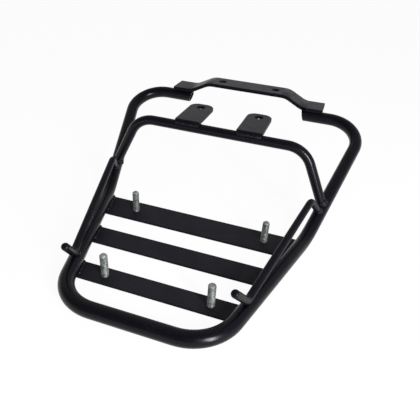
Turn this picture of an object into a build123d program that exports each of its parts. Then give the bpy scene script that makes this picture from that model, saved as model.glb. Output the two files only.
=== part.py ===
"""Motorcycle luggage rack: a bent tube frame with slats, studs, a riser hoop, tabs, a bolt strap and hooks.

Millimetres. The rack lies on its slats with the studs up. X runs across, Y from the narrow end to the
strap end, Z along the studs. The origin is on the mid plane, half way along, at the underside of the slats.
"""
import os
from math import radians, sin

from build123d import *

# Frame tube: narrow end, bent up at the kink, wide end with the two cut ends turned inward. tube_end_slant
# is how much shorter the cut ends are along their underside than along their top
tube_d = 16.0
tube_wall = 1.5
near_half = 76.5
near_bend = 47.0
kink_half = 128.6
kink_from_near = 185.5
kink_bend = 82.0
far_half = 174.0
far_from_near = 371.8
far_rise = 81.2
far_bend = 40.0
tube_end_slant = 4.5

# Slats under the frame tube, named from the narrow end: place, width
slat_t = 3.0
slat_past_axis = 4.0
front_slat_at = 53.2
front_slat_w = 22.5
middle_slat_at = 112.5
middle_slat_w = 27.0
rear_slat_at = 174.2
rear_slat_w = 36.5
slat_corner = 1.0

# Threaded studs, M8 major diameter, standing on the front and rear slats
stud_d = 8.0
stud_h = 27.0
stud_tip_chamfer = 1.2
front_stud_half = 57.0
rear_stud_half = 82.5

# Riser hoop: foot_share is how far along the rising side of the frame its legs land, foot_out how far
# outboard of that tube's axis they aim, and leg_stop how far above the axis they end before they are cut
hoop_d = 12.0
hoop_wall = 1.5
hoop_half = 106.3
hoop_from_near = 235.2
hoop_rise = 90.0
hoop_bend = 33.0
foot_share = 0.243
foot_out = 0.5
leg_stop = 3.0

# Two tabs on the hoop and the strap across the tube ends, M10 clearance holes
tab_t = 4.0
strap_t = 5.0
bolt_hole_d = 11.0
tab_half = 39.0
strap_hole_half = 40.0
tab_w = 32.0
tab_len = 63.6
tab_front_over = 3.8
tab_end_r = 12.0
tab_hole_from_end = 13.0
strap_w = 35.5
strap_half = 112.0
strap_front_over = 7.0
strap_on_tube = 27.0
strap_foot = 29.0
strap_slope = 26.0
strap_rise = 13.3
strap_bend_in = 24.0
plate_edge = 0.5

# Strap hooks of round rod, each bent twice: rising tip, seat on the frame, far bend over the kink, weld end
rod_d = 8.0
rod_near_bend = 10.0
rod_far_bend = 9.0
rod_tip_round = 3.0
seat_from_near = 52.7
tip_x = 82.5
tip_from_near = 30.2
tip_rise = 38.5
far_bend_inside_kink = 3.0
far_bend_past_kink = 13.0
far_bend_rise = 44.4
rod_end_share = 0.205

# Weld beads: bead_out and bead_gap place a bead beside the line where a flat touches the frame tube
bead_r = 2.4
bead_out = 6.6
bead_gap = 1.7
tab_bead_r = 1.9
tab_bead_out = 4.6
stud_bead = 0.4
seat_bead_r = 4.4
seat_bead_len = 12.0
ring_bead = 2.4
ring_bead_h = 6.0
ring_bead_lip = 0.3

tube_end_x = strap_half - strap_on_tube
strap_low_x = strap_half - strap_foot
strap_high_x = strap_low_x - strap_slope
length = tube_d / 2 + far_from_near + strap_w - strap_front_over
y_near = -length / 2 + tube_d / 2
tube_z = slat_t + tube_d / 2


def frame_point(x, from_near, rise):
    """A place given by its distance from the near run's axis and its height over the lower tube axis."""
    return Vector(x, y_near + from_near, tube_z + rise)


near_corner = frame_point(near_half, 0, 0)
kink = frame_point(kink_half, kink_from_near, 0)
far_corner = frame_point(far_half, far_from_near, far_rise)
tube_end = frame_point(tube_end_x - tube_end_slant / 2, far_from_near, far_rise)
lower_dir = (kink - near_corner).normalized()
upper_dir = (far_corner - kink).normalized()


def mirrored(p):
    return Vector(-p.X, p.Y, p.Z)


def side_x(y):
    """Half width to the axis of the lower frame tube at y."""
    return near_half + (kink_half - near_half) * (y - y_near) / kink_from_near


def bent_bar(points, bends, outer_d, inner_d=0.0):
    """A round bar or tube along straight runs joined by tangent bends."""
    with BuildPart() as bar:
        with BuildLine() as path:
            if bends:
                FilletPolyline(*points, radius=bends)
            else:
                Line(*points)
        with BuildSketch(Plane(origin=path.line @ 0, z_dir=path.line % 0)):
            Circle(outer_d / 2)
            if inner_d:
                Circle(inner_d / 2, mode=Mode.SUBTRACT)
        sweep()
    return bar.part


# Frame tube, one length with six bends
frame_path = [mirrored(p) for p in (tube_end, far_corner, kink, near_corner)]
frame_path += [near_corner, kink, far_corner, tube_end]
frame_bends = [far_bend, kink_bend, near_bend, near_bend, kink_bend, far_bend]
frame_blank = bent_bar(frame_path, frame_bends, tube_d)
with BuildPart() as main_tube:
    add(bent_bar(frame_path, frame_bends, tube_d, tube_d - 2 * tube_wall))
    for side in (1, -1):
        cut_at = (side * tube_end_x, tube_end.Y, tube_end.Z)
        with BuildSketch(Plane(origin=cut_at, z_dir=(-side * tube_d, 0, -tube_end_slant))):
            Circle(tube_d)
        extrude(amount=2 * tube_end_slant, mode=Mode.SUBTRACT)

# Riser hoop, its legs cut to sit on the frame tube
foot = kink + (far_corner - kink) * foot_share + Vector(foot_out, 0, 0)
hoop_corner = frame_point(hoop_half, hoop_from_near, hoop_rise)
hoop_leg = (hoop_corner - foot).normalized()
leg_end = foot + hoop_leg * leg_stop
hoop_path = [mirrored(leg_end), mirrored(hoop_corner), hoop_corner, leg_end]
hoop_blank = bent_bar(hoop_path, [hoop_bend, hoop_bend], hoop_d)
with BuildPart() as hoop_tube:
    add(bent_bar(hoop_path, [hoop_bend, hoop_bend], hoop_d, hoop_d - 2 * hoop_wall))
    add(frame_blank, mode=Mode.SUBTRACT)


def slat(at, width):
    """A flat bar whose ends are cut along the frame tube and lie under it."""
    y0 = y_near + at - width / 2
    y1 = y_near + at + width / 2
    with BuildPart() as bar:
        with BuildSketch(Plane.XY):
            with BuildLine():
                Polyline(
                    (-side_x(y0) - slat_past_axis, y0),
                    (side_x(y0) + slat_past_axis, y0),
                    (side_x(y1) + slat_past_axis, y1),
                    (-side_x(y1) - slat_past_axis, y1),
                    close=True,
                )
            make_face()
        extrude(amount=slat_t)
        fillet(bar.edges().filter_by(Axis.Z), slat_corner)
    return bar.part


with BuildPart() as front_slat:
    add(slat(front_slat_at, front_slat_w))
with BuildPart() as middle_slat:
    add(slat(middle_slat_at, middle_slat_w))
with BuildPart() as rear_slat:
    add(slat(rear_slat_at, rear_slat_w))

# Studs stand on the slat's upper face
stud_places = {
    "front_left_stud": Vector(-front_stud_half, y_near + front_slat_at, slat_t),
    "front_right_stud": Vector(front_stud_half, y_near + front_slat_at, slat_t),
    "rear_left_stud": Vector(-rear_stud_half, y_near + rear_slat_at, slat_t),
    "rear_right_stud": Vector(rear_stud_half, y_near + rear_slat_at, slat_t),
}


def stud(place):
    with BuildPart() as pin:
        with BuildSketch(Plane(origin=place)):
            Circle(stud_d / 2)
        extrude(amount=stud_h)
        chamfer(pin.edges().group_by(Axis.Z)[-1], stud_tip_chamfer)
    return pin.part


studs = {name: stud(place) for name, place in stud_places.items()}

# Tabs lie on the hoop's crossbar and reach back over it
tab_z = hoop_corner.Z + hoop_d / 2
tab_y = hoop_corner.Y - tab_front_over
with BuildPart() as right_tab:
    with BuildSketch(Plane(origin=(tab_half, tab_y + tab_len / 2, tab_z))) as tab_outline:
        Rectangle(tab_w, tab_len)
        fillet(tab_outline.vertices().group_by(Axis.Y)[-1], tab_end_r)
        with Locations((0, tab_len / 2 - tab_hole_from_end)):
            Circle(bolt_hole_d / 2, mode=Mode.SUBTRACT)
    extrude(amount=tab_t)
    chamfer(right_tab.faces().sort_by(Axis.Z)[-1].edges(), plate_edge)
with BuildPart() as left_tab:
    mirror(right_tab.part, about=Plane.YZ)

# Strap across the cut tube ends: flat ends, a joggle each side and a raised middle
strap_y = y_near + far_from_near - strap_front_over
strap_z = far_corner.Z + tube_d / 2
with BuildPart() as strap:
    with BuildSketch(Plane(origin=(0, strap_y, 0), x_dir=(1, 0, 0), z_dir=(0, -1, 0))):
        with BuildLine() as strap_under:
            FilletPolyline(
                (-strap_half, strap_z),
                (-strap_low_x, strap_z),
                (-strap_high_x, strap_z + strap_rise),
                (strap_high_x, strap_z + strap_rise),
                (strap_low_x, strap_z),
                (strap_half, strap_z),
                radius=[strap_bend_in + strap_t, strap_bend_in, strap_bend_in, strap_bend_in + strap_t],
            )
            offset(amount=strap_t, side=Side.LEFT)
        make_face()
    extrude(amount=-strap_w)
    chamfer(strap.faces().filter_by(Axis.Y).edges(), plate_edge)
    hole_y = strap_y + strap_w / 2
    with Locations((-strap_hole_half, hole_y, strap_z), (strap_hole_half, hole_y, strap_z)):
        Cylinder(bolt_hole_d / 2, 2 * (strap_rise + strap_t), mode=Mode.SUBTRACT)

# Strap hooks: the near bend is lowered so that its lowest point touches the frame tube
hook_tip = frame_point(tip_x, tip_from_near, tip_rise)
hook_far = kink + Vector(-far_bend_inside_kink, far_bend_past_kink, far_bend_rise)
hook_end = kink + (far_corner - kink) * rod_end_share
hook_seat = frame_point(side_x(y_near + seat_from_near), seat_from_near, tube_d / 2 + rod_d / 2)
to_tip = (hook_tip - hook_seat).normalized()
to_far = (hook_far - hook_seat).normalized()
half_open = radians(to_tip.get_angle(to_far)) / 2
seat_lift = rod_near_bend * ((to_tip + to_far).normalized().Z / sin(half_open) - 1)
hook_seat = hook_seat - Vector(0, 0, seat_lift)
hook_path = [hook_tip, hook_seat, hook_far, hook_end]
hook_blank = bent_bar(hook_path, [rod_near_bend, rod_far_bend], rod_d)
with BuildPart() as right_hook:
    add(hook_blank)
    tip_face = right_hook.faces().filter_by(GeomType.PLANE).sort_by_distance(hook_tip)[0]
    fillet(tip_face.edges(), rod_tip_round)
    add(frame_blank, mode=Mode.SUBTRACT)
with BuildPart() as left_hook:
    mirror(right_hook.part, about=Plane.YZ)


def bead(start, end, radius):
    """A straight weld bead, its ends tapered."""
    with BuildPart() as run:
        with BuildLine() as path:
            Line(start, end)
        with BuildSketch(Plane(origin=start, z_dir=end - start)):
            Circle(radius)
        sweep()
        chamfer(run.edges().filter_by(GeomType.CIRCLE), radius / 2)
    return run.part


def ring(axis_point, bar_dir, bar_d):
    """A bead round the foot of a bar that stands on the rising side of the frame tube."""
    out = (bar_dir - upper_dir * bar_dir.dot(upper_dir)).normalized()
    reach = tube_d / 2 / bar_dir.dot(out)
    with BuildPart() as collar:
        with Locations(Plane(origin=axis_point + bar_dir * reach, z_dir=out)):
            Cone(bar_d / 2 + ring_bead, bar_d / 2 + ring_bead_lip, ring_bead_h)
    return collar.part


# Slat beads lie along the inner side of the frame tube
inward = Vector(-lower_dir.Y, lower_dir.X, 0)
lower_run = bent_bar([near_corner, kink + lower_dir * kink_bend], None, tube_d)
with BuildPart() as slat_welds:
    for at, width in (
        (front_slat_at, front_slat_w),
        (middle_slat_at, middle_slat_w),
        (rear_slat_at, rear_slat_w),
    ):
        axis_y = y_near + at - inward.Y * bead_out
        middle = Vector(side_x(axis_y), axis_y, slat_t + bead_gap) + inward * bead_out
        half = lower_dir * (width / 2 - slat_corner)
        add(bead(middle - half, middle + half, bead_r))
    add([front_slat.part, middle_slat.part, rear_slat.part, lower_run], mode=Mode.SUBTRACT)
    mirror(slat_welds.part, about=Plane.YZ)

with BuildPart() as stud_welds:
    with Locations(*stud_places.values()):
        Cone(stud_d / 2 + stud_bead, stud_d / 2, stud_bead, align=(Align.CENTER, Align.CENTER, Align.MIN))
        Cylinder(stud_d / 2, 3 * stud_bead, mode=Mode.SUBTRACT)

with BuildPart() as hoop_welds:
    add(ring(foot, hoop_leg, hoop_d))
    add([hoop_blank, frame_blank], mode=Mode.SUBTRACT)
    mirror(hoop_welds.part, about=Plane.YZ)

with BuildPart() as tab_welds:
    for out in (-tab_bead_out, tab_bead_out):
        middle = Vector(tab_half, hoop_corner.Y + out, tab_z - tab_bead_r / 2)
        half = Vector(tab_w / 2 - plate_edge, 0, 0)
        add(bead(middle - half, middle + half, tab_bead_r))
    add([right_tab.part, hoop_blank], mode=Mode.SUBTRACT)
    mirror(tab_welds.part, about=Plane.YZ)

with BuildPart() as strap_welds:
    start = Vector(tube_end_x + bead_r, far_corner.Y + bead_out, strap_z - bead_gap)
    end = Vector(strap_half - bead_r, far_corner.Y + bead_out, strap_z - bead_gap)
    add(bead(start, end, bead_r))
    add([strap.part, frame_blank], mode=Mode.SUBTRACT)
    mirror(strap_welds.part, about=Plane.YZ)

bend_centre = hook_seat + (to_tip + to_far).normalized() * (rod_near_bend / sin(half_open))
contact = Vector(bend_centre.X, bend_centre.Y, tube_z + tube_d / 2)
seat_half = lower_dir * (seat_bead_len / 2 - seat_bead_r / 2)
hook_run = (hook_far - hook_end).normalized()
with BuildPart() as hook_welds:
    add(bead(contact - seat_half, contact + seat_half, seat_bead_r))
    add(ring(hook_end, hook_run, rod_d))
    add([hook_blank, frame_blank, hoop_blank, hoop_welds.part], mode=Mode.SUBTRACT)
    mirror(hook_welds.part, about=Plane.YZ)

parts = {
    "main_tube": main_tube.part,
    "hoop_tube": hoop_tube.part,
    "front_slat": front_slat.part,
    "middle_slat": middle_slat.part,
    "rear_slat": rear_slat.part,
    "left_tab": left_tab.part,
    "right_tab": right_tab.part,
    "strap": strap.part,
    "left_hook": left_hook.part,
    "right_hook": right_hook.part,
    "slat_welds": slat_welds.part,
    "stud_welds": stud_welds.part,
    "hoop_welds": hoop_welds.part,
    "tab_welds": tab_welds.part,
    "strap_welds": strap_welds.part,
    "hook_welds": hook_welds.part,
}
parts.update(studs)

os.makedirs("parts", exist_ok=True)
for name, shape in parts.items():
    shape.label = name
    export_step(shape, f"parts/{name}.step")
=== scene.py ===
import math

import bpy
from mathutils import Euler, Matrix, Vector, noise


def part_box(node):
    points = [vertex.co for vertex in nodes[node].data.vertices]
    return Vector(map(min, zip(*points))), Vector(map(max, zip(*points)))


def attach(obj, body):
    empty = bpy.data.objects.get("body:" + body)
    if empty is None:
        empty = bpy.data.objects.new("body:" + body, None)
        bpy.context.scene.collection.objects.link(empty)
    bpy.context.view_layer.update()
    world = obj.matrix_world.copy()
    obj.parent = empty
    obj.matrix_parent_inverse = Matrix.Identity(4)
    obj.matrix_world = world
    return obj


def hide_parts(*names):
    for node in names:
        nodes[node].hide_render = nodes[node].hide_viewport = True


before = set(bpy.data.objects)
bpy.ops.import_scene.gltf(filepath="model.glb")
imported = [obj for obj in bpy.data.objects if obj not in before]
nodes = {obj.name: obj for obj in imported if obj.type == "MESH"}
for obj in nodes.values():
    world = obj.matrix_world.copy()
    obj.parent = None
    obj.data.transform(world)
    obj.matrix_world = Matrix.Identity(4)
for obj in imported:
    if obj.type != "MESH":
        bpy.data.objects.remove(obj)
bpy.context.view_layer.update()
scene = bpy.context.scene
MM = 0.001

SLATS = ("front_slat", "middle_slat", "rear_slat")
STUDS = ("front_left_stud", "front_right_stud", "rear_left_stud", "rear_right_stud")


# Shader nodes, with the places of a Mix node's colour sockets
MIX_A = 6
MIX_B = 7
MIX_RESULT = 2


def link(tree, source, target):
    tree.links.new(source, target)


def new_material(name):
    mat = bpy.data.materials.new(name)
    mat.use_nodes = True
    tree = mat.node_tree
    return mat, tree, tree.nodes["Principled BSDF"]


def object_coord(tree):
    return tree.nodes.new("ShaderNodeTexCoord").outputs["Object"]


def noise_node(tree, coord, scale, detail):
    node = tree.nodes.new("ShaderNodeTexNoise")
    node.inputs["Scale"].default_value = scale
    node.inputs["Detail"].default_value = detail
    link(tree, coord, node.inputs["Vector"])
    return node.outputs["Fac"]


def ramp_node(tree, value, low, low_colour, high, high_colour):
    node = tree.nodes.new("ShaderNodeValToRGB")
    first, last = node.color_ramp.elements
    first.position = low
    first.color = (*low_colour, 1)
    last.position = high
    last.color = (*high_colour, 1)
    link(tree, value, node.inputs["Fac"])
    return node.outputs["Color"]


def range_node(tree, value, to_low, to_high, from_low=0.0, from_high=1.0):
    node = tree.nodes.new("ShaderNodeMapRange")
    node.inputs["From Min"].default_value = from_low
    node.inputs["From Max"].default_value = from_high
    node.inputs["To Min"].default_value = to_low
    node.inputs["To Max"].default_value = to_high
    link(tree, value, node.inputs["Value"])
    return node.outputs["Result"]


def math_node(tree, operation, *values):
    node = tree.nodes.new("ShaderNodeMath")
    node.operation = operation
    for value, socket in zip(values, node.inputs):
        link(tree, value, socket)
    return node.outputs["Value"]


def mix_node(tree, factor):
    node = tree.nodes.new("ShaderNodeMix")
    node.data_type = "RGBA"
    link(tree, factor, node.inputs["Factor"])
    return node


def bump_node(tree, height, strength, distance, normal=None):
    node = tree.nodes.new("ShaderNodeBump")
    node.inputs["Strength"].default_value = strength
    node.inputs["Distance"].default_value = distance
    link(tree, height, node.inputs["Height"])
    if normal:
        link(tree, normal, node.inputs["Normal"])
    return node.outputs["Normal"]


# Paint: each noise is a scale per metre and a detail
TONE_DRIFT = (35.0, 3.0)
DUST_SPECKS = (1600.0, 1.0)
UNEVEN_GLOSS = (90.0, 4.0)
ORANGE_PEEL = (700.0, 2.0)
LONG_WAVES = (130.0, 1.0)
PEEL_HEIGHT = 0.4 * MM
WAVE_HEIGHT = 1.2 * MM
WAVE_SHARE = 0.6
NOISE_LOW = 0.3
NOISE_HIGH = 0.7
SPECK_FROM = 0.68
SPECK_FULL = 0.76
NO_COVER = (0, 0, 0)
HALF_COVER = (0.5, 0.5, 0.5)
DUST = (0.05, 0.05, 0.052, 1)
BLACK = (0, 0, 0, 1)

# Plates: a face counts as a cut edge by the upward part of its normal
PLATE_PEEL = 0.10
PLATE_SPECULAR = 0.27
EDGE_BELOW = 0.25
FACE_ABOVE = 0.65
EDGE_GLEAM = 0.25
# Painted shade: the share of colour kept on upright faces, which darkens edges and hole walls
EDGE_PAINTED_SHADE = 0.6


def paint(name, dark, light, rough_low, rough_high, peel, specular):
    """Satin black paint: faint tone drift, dust specks, uneven gloss and orange peel."""
    mat, tree, bsdf = new_material(name)
    coord = object_coord(tree)
    drift = noise_node(tree, coord, *TONE_DRIFT)
    specks = noise_node(tree, coord, *DUST_SPECKS)
    cover = ramp_node(tree, specks, SPECK_FROM, NO_COVER, SPECK_FULL, HALF_COVER)
    dusty = mix_node(tree, cover)
    link(tree, ramp_node(tree, drift, NOISE_LOW, dark, NOISE_HIGH, light), dusty.inputs[MIX_A])
    dusty.inputs[MIX_B].default_value = DUST
    link(tree, dusty.outputs[MIX_RESULT], bsdf.inputs["Base Color"])
    gloss = noise_node(tree, coord, *UNEVEN_GLOSS)
    rough = range_node(tree, gloss, rough_low, rough_high, NOISE_LOW, NOISE_HIGH)
    link(tree, rough, bsdf.inputs["Roughness"])
    fine = bump_node(tree, noise_node(tree, coord, *ORANGE_PEEL), peel, PEEL_HEIGHT)
    waves = noise_node(tree, coord, *LONG_WAVES)
    link(tree, bump_node(tree, waves, peel * WAVE_SHARE, WAVE_HEIGHT, fine), bsdf.inputs["Normal"])
    bsdf.inputs["Specular IOR Level"].default_value = specular
    return mat


def dull_and_shade_cut_edges(mat, specular):
    """The upright faces of a plate, its sheared edges and drilled walls, get duller paint with less
    gleam, and painted shade that darkens their colour.
    """
    tree = mat.node_tree
    bsdf = tree.nodes["Principled BSDF"]
    normal = tree.nodes.new("ShaderNodeSeparateXYZ")
    link(tree, tree.nodes.new("ShaderNodeTexCoord").outputs["Normal"], normal.inputs["Vector"])
    upward = math_node(tree, "ABSOLUTE", normal.outputs["Z"])
    face = range_node(tree, upward, 0.0, 1.0, EDGE_BELOW, FACE_ABOVE)
    gleam = range_node(tree, face, specular * EDGE_GLEAM, specular)
    link(tree, gleam, bsdf.inputs["Specular IOR Level"])
    full = bsdf.inputs["Base Color"].links[0].from_socket
    # Painted shade: darkens the colour of upright faces, edges and hole walls
    painted_shade = mix_node(tree, range_node(tree, face, EDGE_PAINTED_SHADE, 1.0))
    painted_shade.inputs[MIX_A].default_value = BLACK
    link(tree, full, painted_shade.inputs[MIX_B])
    link(tree, painted_shade.outputs[MIX_RESULT], bsdf.inputs["Base Color"])


def plate_paint(name, dark, light, rough_low, rough_high):
    mat = paint(name, dark, light, rough_low, rough_high, PLATE_PEEL, PLATE_SPECULAR)
    dull_and_shade_cut_edges(mat, PLATE_SPECULAR)
    return mat


tube_paint = paint(
    "tube_paint",
    dark=(0.0016, 0.0015, 0.0040),
    light=(0.0030, 0.0029, 0.0060),
    rough_low=0.24,
    rough_high=0.29,
    peel=0.04,
    specular=0.19,
)
rod_paint = paint(
    "rod_paint",
    dark=(0.0017, 0.0016, 0.0043),
    light=(0.0032, 0.0031, 0.0065),
    rough_low=0.36,
    rough_high=0.44,
    peel=0.08,
    specular=0.16,
)
weld_paint = paint(
    "weld_paint",
    dark=(0.0024, 0.0022, 0.0048),
    light=(0.0050, 0.0046, 0.0084),
    rough_low=0.40,
    rough_high=0.56,
    peel=0.30,
    specular=0.20,
)
bolt_plate_paint = plate_paint(
    "bolt_plate_paint",
    dark=(0.0041, 0.0042, 0.0093),
    light=(0.0083, 0.0085, 0.0148),
    rough_low=0.36,
    rough_high=0.44,
)
# Partly painted sheen: a base lighter than the tubes' black, making up for the sheen the rougher slat
# finish loses
slat_paint_with_painted_sheen = plate_paint(
    "slat_paint_with_painted_sheen",
    dark=(0.0068, 0.0070, 0.0122),
    light=(0.0118, 0.0121, 0.0182),
    rough_low=0.57,
    rough_high=0.65,
)

# Zinc plating: each noise is a scale per metre and a detail
ZINC_BLOTCHES = (420.0, 3.0)
ZINC_GLOSS = (700.0, 3.0)
ZINC_GRAIN = (2500.0, 2.0)
BLOTCH_LOW = 0.38
BLOTCH_HIGH = 0.62
ZINC_METALLIC = 0.75
ZINC_ROUGH_LOW = 0.46
ZINC_ROUGH_HIGH = 0.62
GRAIN_STRENGTH = 0.15
GRAIN_HEIGHT = 0.1 * MM


def zinc(name, dark, light):
    """Zinc plating: dull grey metal with a faint green cast, blotchy in tone and gloss."""
    mat, tree, bsdf = new_material(name)
    coord = object_coord(tree)
    blotches = noise_node(tree, coord, *ZINC_BLOTCHES)
    tone = ramp_node(tree, blotches, BLOTCH_LOW, dark, BLOTCH_HIGH, light)
    link(tree, tone, bsdf.inputs["Base Color"])
    bsdf.inputs["Metallic"].default_value = ZINC_METALLIC
    gloss = noise_node(tree, coord, *ZINC_GLOSS)
    rough = range_node(tree, gloss, ZINC_ROUGH_LOW, ZINC_ROUGH_HIGH, NOISE_LOW, NOISE_HIGH)
    link(tree, rough, bsdf.inputs["Roughness"])
    grain = noise_node(tree, coord, *ZINC_GRAIN)
    link(tree, bump_node(tree, grain, GRAIN_STRENGTH, GRAIN_HEIGHT), bsdf.inputs["Normal"])
    return mat


stud_zinc = zinc("stud_zinc_plating", dark=(0.15, 0.165, 0.16), light=(0.36, 0.38, 0.372))
# Painted shade: darker zinc on the faces in the thread roots
stud_root_painted_shade = zinc("stud_thread_root_painted_shade", dark=(0.06, 0.065, 0.064), light=(0.15, 0.16, 0.157))
# Painted light: lighter zinc on the cut end and its chamfer
stud_end_painted_light = zinc("stud_cut_end_painted_light", dark=(0.32, 0.33, 0.325), light=(0.46, 0.47, 0.465))


# CAD nodes that stay: their paint, and softer edges on the slats and the strap
def set_material(name, mat):
    materials = nodes[name].data.materials
    materials.clear()
    materials.append(mat)


for name in ("main_tube", "hoop_tube"):
    set_material(name, tube_paint)
for name in ("left_hook", "right_hook"):
    set_material(name, rod_paint)
for name in SLATS:
    set_material(name, slat_paint_with_painted_sheen)
for name in ("left_tab", "right_tab", "strap"):
    set_material(name, bolt_plate_paint)
set_material("stud_welds", weld_paint)

EDGE_ROUND = 0.5 * MM
ROUND_STEPS = 2
SHARP_FROM = math.radians(40)
JOIN_WITHIN = 1e-6


def soften(name):
    """Rounds a plate's sharp edges a little without moving its faces."""
    obj = nodes[name]
    weld = obj.modifiers.new("join_vertices", "WELD")
    weld.merge_threshold = JOIN_WITHIN
    bevel = obj.modifiers.new("edge_round", "BEVEL")
    bevel.width = EDGE_ROUND
    bevel.segments = ROUND_STEPS
    bevel.limit_method = "ANGLE"
    bevel.angle_limit = SHARP_FROM
    bevel.harden_normals = True


for name in (*SLATS, "strap"):
    soften(name)


def finish_piece(name, mesh, node, mats):
    """Makes a smooth-shaded piece from a mesh, in the place of a CAD node."""
    obj = bpy.data.objects.new(name, mesh)
    for mat in mats:
        obj.data.materials.append(mat)
    for face in obj.data.polygons:
        face.use_smooth = True
    scene.collection.objects.link(obj)
    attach(obj, "root")
    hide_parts(node)


# Studs: M8 coarse thread, cut as one helix over the CAD stud's length, with a plain collar at the foot
PITCH = 1.25 * MM
MAJOR_RADIUS = 4.0 * MM
DEPTH = 0.61 * MM
TIP = 1.2 * MM
COLLAR = 1.0 * MM
AROUND = 48
ROWS_PER_PITCH = 12

# Shares of one pitch, and where the root's painted shade starts and ends
CREST = 0.125
FLANK = 0.3125
ROOT = 0.25
ROOT_SHADE_FROM = 0.40
ROOT_SHADE_TO = 0.72

# Places of a stud's three materials: plating, painted shade in the thread roots, painted light on the
# cut end
PLATING = 0
SHADED_THREAD_ROOT = 1
PAINTED_LIGHT_END = 2


def thread_radius(turn):
    """Radius at a fraction of one pitch: crest, flank, root, flank."""
    t = turn % 1.0
    if t < CREST:
        return MAJOR_RADIUS
    if t < CREST + FLANK:
        return MAJOR_RADIUS - DEPTH * (t - CREST) / FLANK
    if t < CREST + FLANK + ROOT:
        return MAJOR_RADIUS - DEPTH
    return MAJOR_RADIUS - DEPTH * (1.0 - t) / FLANK


def stud_radius(z, length, turn):
    radius = MAJOR_RADIUS if z < COLLAR else thread_radius(turn)
    return min(radius, MAJOR_RADIUS - TIP + (length - z))


def stud_shade(z, length, turn):
    """Which of the stud's three materials a face takes: plating, the roots' painted shade, or the end's
    painted light.
    """
    if z > length - TIP:
        return PAINTED_LIGHT_END
    if z > COLLAR and ROOT_SHADE_FROM < turn % 1.0 < ROOT_SHADE_TO:
        return SHADED_THREAD_ROOT
    return PLATING


def threaded_stud(node):
    lo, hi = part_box(node)
    cx, cy = (lo.x + hi.x) / 2, (lo.y + hi.y) / 2
    length = hi.z - lo.z
    rows = int(length / PITCH * ROWS_PER_PITCH)
    verts, faces, shades = [], [], []
    for i in range(rows + 1):
        z = length * i / rows
        for j in range(AROUND):
            a = 2 * math.pi * j / AROUND
            r = stud_radius(z, length, z / PITCH - j / AROUND)
            verts.append((cx + r * math.cos(a), cy + r * math.sin(a), lo.z + z))
    for i in range(rows):
        z = length * (i + 0.5) / rows
        low, high = i * AROUND, (i + 1) * AROUND
        for j in range(AROUND):
            k = (j + 1) % AROUND
            faces.append((low + j, low + k, high + k, high + j))
            shades.append(stud_shade(z, length, z / PITCH - (j + 0.5) / AROUND))
    foot, tip = len(verts), len(verts) + 1
    verts.append((cx, cy, lo.z))
    verts.append((cx, cy, hi.z))
    top = rows * AROUND
    for j in range(AROUND):
        k = (j + 1) % AROUND
        faces.append((foot, k, j))
        faces.append((tip, top + j, top + k))
        shades.extend((PLATING, PAINTED_LIGHT_END))
    mesh = bpy.data.meshes.new(node + "_thread")
    mesh.from_pydata(verts, [], faces)
    for face, shade in zip(mesh.polygons, shades):
        face.material_index = shade
    mesh.update()
    finish_piece(node + "_thread", mesh, node, (stud_zinc, stud_root_painted_shade, stud_end_painted_light))


for name in STUDS:
    threaded_stud(name)


# Weld beads: the CAD bead with the ripples and lumps of a painted weld
VOXEL = 0.45 * MM
RIPPLE_MEAN = 0.5
BROAD_LUMPS = 240.0
FINE_LUMPS = 520.0
FINE_SHARE = 0.6

# Which way the ripples follow each other: along the frame's sides, across the rack, or up
SIDE_OUT = 0.270
SIDE_BACK = 0.963
SIDE_LEAN = 0.3
SIDE_BEAD_MIDDLE = 4.5 * MM
ACROSS_LEAN = 0.4
UP_RUN = 1.6
UP_LEAN = 0.7


def along_side(p):
    lean = SIDE_LEAN if p.x > 0 else -SIDE_LEAN
    return p.y * SIDE_BACK + abs(p.x) * SIDE_OUT + lean * abs(p.z - SIDE_BEAD_MIDDLE)


def along_x(p):
    return p.x + ACROSS_LEAN * p.z


def along_z(p):
    return p.z * UP_RUN + p.y * UP_LEAN


def rippled_bead(node, along, pitch, height, lump):
    """The CAD bead in fine facets, pushed in and out by its ripples and by noise."""
    source = bpy.data.objects.new(node + "_source", nodes[node].data.copy())
    scene.collection.objects.link(source)
    remesh = source.modifiers.new("remesh", "REMESH")
    remesh.mode = "VOXEL"
    remesh.voxel_size = VOXEL
    depsgraph = bpy.context.evaluated_depsgraph_get()
    mesh = bpy.data.meshes.new_from_object(source.evaluated_get(depsgraph))
    bpy.data.objects.remove(source)
    moved = []
    for vertex in mesh.vertices:
        p = vertex.co
        ripple = abs(math.sin(math.pi * along(p) / pitch)) - RIPPLE_MEAN
        rough = FINE_SHARE * noise.noise(p * FINE_LUMPS) + noise.noise(p * BROAD_LUMPS)
        moved.append(p + vertex.normal * (height * ripple + lump * rough))
    for vertex, p in zip(mesh.vertices, moved):
        vertex.co = p
    mesh.materials.clear()
    mesh.update()
    mesh.name = node + "_rippled"
    finish_piece(node + "_rippled", mesh, node, (weld_paint,))


rippled_bead("slat_welds", along_side, pitch=2.6 * MM, height=0.35 * MM, lump=1.0 * MM)
rippled_bead("tab_welds", along_x, pitch=2.4 * MM, height=0.3 * MM, lump=0.6 * MM)
rippled_bead("strap_welds", along_x, pitch=2.4 * MM, height=0.3 * MM, lump=0.6 * MM)
rippled_bead("hoop_welds", along_z, pitch=2.2 * MM, height=0.3 * MM, lump=0.6 * MM)
rippled_bead("hook_welds", along_z, pitch=2.2 * MM, height=0.25 * MM, lump=0.4 * MM)


# Floor: grey for the light it gives the rack, white with a faint shadow where it is seen or mirrored
FLOOR_HALF = 6.0
FLOOR_DROP = 0.2 * MM
FLOOR_GREY = (0.7, 0.7, 0.7, 1)
FLOOR_ROUGHNESS = 0.9
WHITE = (1, 1, 1, 1)
SHADOW_SHARE = 0.10
LIT_LEVEL = 0.55


def seen_directly(tree):
    """One for camera, glossy and transmission rays, nought for the rest."""
    path = tree.nodes.new("ShaderNodeLightPath").outputs
    seen = math_node(tree, "MAXIMUM", path["Is Camera Ray"], path["Is Glossy Ray"])
    return math_node(tree, "MAXIMUM", seen, path["Is Transmission Ray"])


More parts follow.
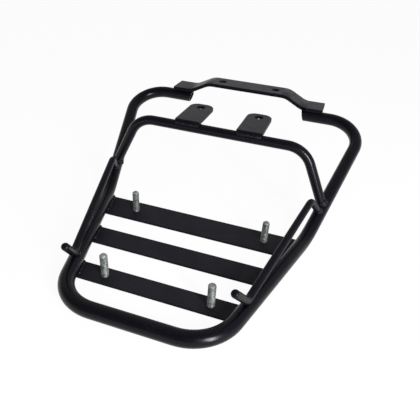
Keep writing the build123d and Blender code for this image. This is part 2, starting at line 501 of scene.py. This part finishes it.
def floor_material():
    """A share of the floor is shaded and holds the shadow; the glow brings its lit part up to white."""
    mat, tree, bsdf = new_material("floor_white")
    bsdf.inputs["Base Color"].default_value = FLOOR_GREY
    bsdf.inputs["Roughness"].default_value = FLOOR_ROUGHNESS
    bsdf.inputs["Specular IOR Level"].default_value = 0.0
    glow = tree.nodes.new("ShaderNodeEmission")
    glow.inputs["Color"].default_value = WHITE
    glow.inputs["Strength"].default_value = (1.0 - LIT_LEVEL * SHADOW_SHARE) / (1.0 - SHADOW_SHARE)
    mix = tree.nodes.new("ShaderNodeMixShader")
    link(tree, range_node(tree, seen_directly(tree), 0.0, 1.0 - SHADOW_SHARE), mix.inputs["Fac"])
    link(tree, bsdf.outputs["BSDF"], mix.inputs[1])
    link(tree, glow.outputs["Emission"], mix.inputs[2])
    link(tree, mix.outputs["Shader"], tree.nodes["Material Output"].inputs["Surface"])
    return mat


def white_floor():
    mesh = bpy.data.meshes.new("floor")
    signs = ((-1, -1), (1, -1), (1, 1), (-1, 1))
    corners = [(x * FLOOR_HALF, y * FLOOR_HALF, -FLOOR_DROP) for x, y in signs]
    mesh.from_pydata(corners, [], [(0, 1, 2, 3)])
    mesh.materials.append(floor_material())
    floor = bpy.data.objects.new("floor", mesh)
    scene.collection.objects.link(floor)


white_floor()

# Room light by direction: Y is towards the back of the rack, Z is up
FRONT_LEVEL = 0.18
BACK_LEVEL = 0.50
FRONT_Y = -0.3
BACK_Y = 0.6
LOW_LEVEL = 0.40
LOW_TOP = 0.3
HORIZON_LEVEL = 1.0
HORIZON_TOP = 0.22


def studio_world():
    """A soft room: dim in front and overhead, paler behind the rack, white at the horizon."""
    world = bpy.data.worlds.new("studio")
    scene.world = world
    world.use_nodes = True
    tree = world.node_tree
    background = tree.nodes["Background"]
    background.inputs["Color"].default_value = WHITE
    direction = tree.nodes.new("ShaderNodeSeparateXYZ")
    link(tree, tree.nodes.new("ShaderNodeTexCoord").outputs["Generated"], direction.inputs["Vector"])
    behind = range_node(tree, direction.outputs["Y"], FRONT_LEVEL, BACK_LEVEL, FRONT_Y, BACK_Y)
    low = range_node(tree, direction.outputs["Z"], LOW_LEVEL, 0.0, 0.0, LOW_TOP)
    horizon = range_node(tree, direction.outputs["Z"], HORIZON_LEVEL, 0.0, 0.0, HORIZON_TOP)
    room = math_node(tree, "ADD", behind, low)
    link(tree, math_node(tree, "MAXIMUM", room, horizon), background.inputs["Strength"])


studio_world()

# Key lamp: tall and narrow, at the right front
KEY_PLACE = Vector((0.74, -0.70, 0.38))
KEY_AIM = Vector((0, 0, 0.04))
KEY_WIDTH = 0.15
KEY_HEIGHT = 0.52
KEY_POWER = 15.0


def key_lamp():
    data = bpy.data.lights.new("key", "AREA")
    data.shape = "RECTANGLE"
    data.size = KEY_WIDTH
    data.size_y = KEY_HEIGHT
    data.energy = KEY_POWER
    lamp = bpy.data.objects.new("key", data)
    lamp.location = KEY_PLACE
    lamp.rotation_mode = "QUATERNION"
    lamp.rotation_quaternion = (KEY_AIM - KEY_PLACE).to_track_quat("-Z", "Y")
    scene.collection.objects.link(lamp)


key_lamp()

# Camera at the photograph's place: its turn in degrees, its focal length in pixels of the square frame
CAMERA_PLACE = Vector((0.1309, -0.4244, 0.30175))
CAMERA_TURN = (56.861, -3.440, 18.384)
FOCAL_PIXELS = 423.08
FRAME_PIXELS = 420
SENSOR_MM = 36.0
NEAREST_SEEN = 0.01


def photo_camera():
    data = bpy.data.cameras.new("camera")
    data.sensor_width = SENSOR_MM
    data.lens = FOCAL_PIXELS / FRAME_PIXELS * SENSOR_MM
    data.clip_start = NEAREST_SEEN
    camera = bpy.data.objects.new("camera", data)
    turn = Euler([math.radians(angle) for angle in CAMERA_TURN])
    camera.matrix_world = Matrix.LocRotScale(CAMERA_PLACE, turn, None)
    scene.collection.objects.link(camera)
    scene.camera = camera


photo_camera()
scene.view_settings.view_transform = "Standard"
